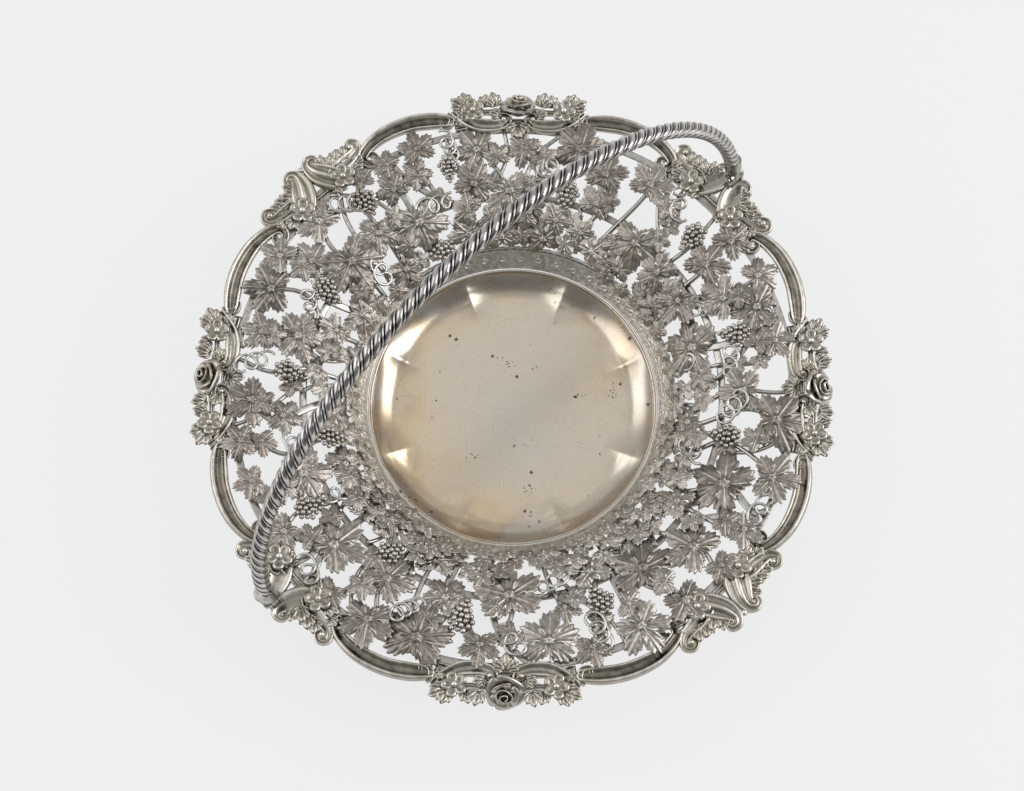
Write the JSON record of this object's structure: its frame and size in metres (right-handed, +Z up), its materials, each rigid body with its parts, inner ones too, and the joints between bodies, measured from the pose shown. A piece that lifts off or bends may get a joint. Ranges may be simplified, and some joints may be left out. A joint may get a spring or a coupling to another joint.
{
  "type": "cake basket",
  "caption": "Round silver basket with a lobed dish, openwork vine wall, scrolled rim with roses and a rope-twist swing handle.",
  "frame": {"origin": "centre of the foot on the table", "axes": "+Z up through the dish, +X and +Y each through a rose mount; the handle's hinge line runs between the shell mounts at 45 degrees"},
  "size_m": [0.2922, 0.2922, 0.1759],
  "materials": {
    "polished_silver": "polished, lightly tarnished and scratched",
    "stamped_silver": "die-rolled, dark in the grooves",
    "wire_silver": "satin, tarnished",
    "leaf_silver": "matt grey, brighter on raised edges",
    "cast_silver": "satin, tarnished yellow-grey",
    "rope_silver": "polished ridges, dark grooves"
  },
  "bodies": {
    "basket": {"dish": "polished_silver", "foot_collar": "polished_silver", "foot_rim": "polished_silver", "border_band": "stamped_silver", "band_wire": "polished_silver", "mid_ring": "wire_silver", "top_ring": "wire_silver", "stems_1": "wire_silver", "stems_2": "wire_silver", "stems_3": "wire_silver", "stems_4": "wire_silver", "stems_5": "wire_silver", "stems_6": "wire_silver", "stems_7": "wire_silver", "stems_8": "wire_silver", "leaves_1": "leaf_silver", "leaves_2": "leaf_silver", "leaves_3": "leaf_silver", "leaves_4": "leaf_silver", "leaves_5": "leaf_silver", "leaves_6": "leaf_silver", "leaves_7": "leaf_silver", "leaves_8": "leaf_silver", "grapes_1": "leaf_silver", "grapes_2": "leaf_silver", "grapes_3": "leaf_silver", "grapes_4": "leaf_silver", "tendrils_1": "wire_silver", "tendrils_2": "wire_silver", "tendrils_3": "wire_silver", "tendrils_4": "wire_silver", "rim_scroll_1": "cast_silver", "rim_scroll_2": "cast_silver", "rim_scroll_3": "cast_silver", "rim_scroll_4": "cast_silver", "rim_scroll_5": "cast_silver", "rim_scroll_6": "cast_silver", "rim_scroll_7": "cast_silver", "rim_scroll_8": "cast_silver", "rose_mount_1": "cast_silver", "rose_mount_2": "cast_silver", "rose_mount_3": "cast_silver", "rose_mount_4": "cast_silver", "shell_mount_1": "cast_silver", "shell_mount_2": "cast_silver", "shell_mount_3": "cast_silver", "shell_mount_4": "cast_silver", "hinge_bracket_1": "rope_silver", "hinge_bracket_2": "rope_silver", "hinge_pin_1": "rope_silver", "hinge_pin_2": "rope_silver"},
    "handle": {"handle_eye_1": "rope_silver", "handle_eye_2": "rope_silver", "handle_rope": "rope_silver"}
  },
  "joints": [
    {"name": "handle_swing", "type": "hinge", "parent": "basket", "child": "handle", "pos_m": [0, 0, 0.0628], "axis": [0.7071, 0.7071, 0], "range_deg": [-76, 100]}
  ]
}
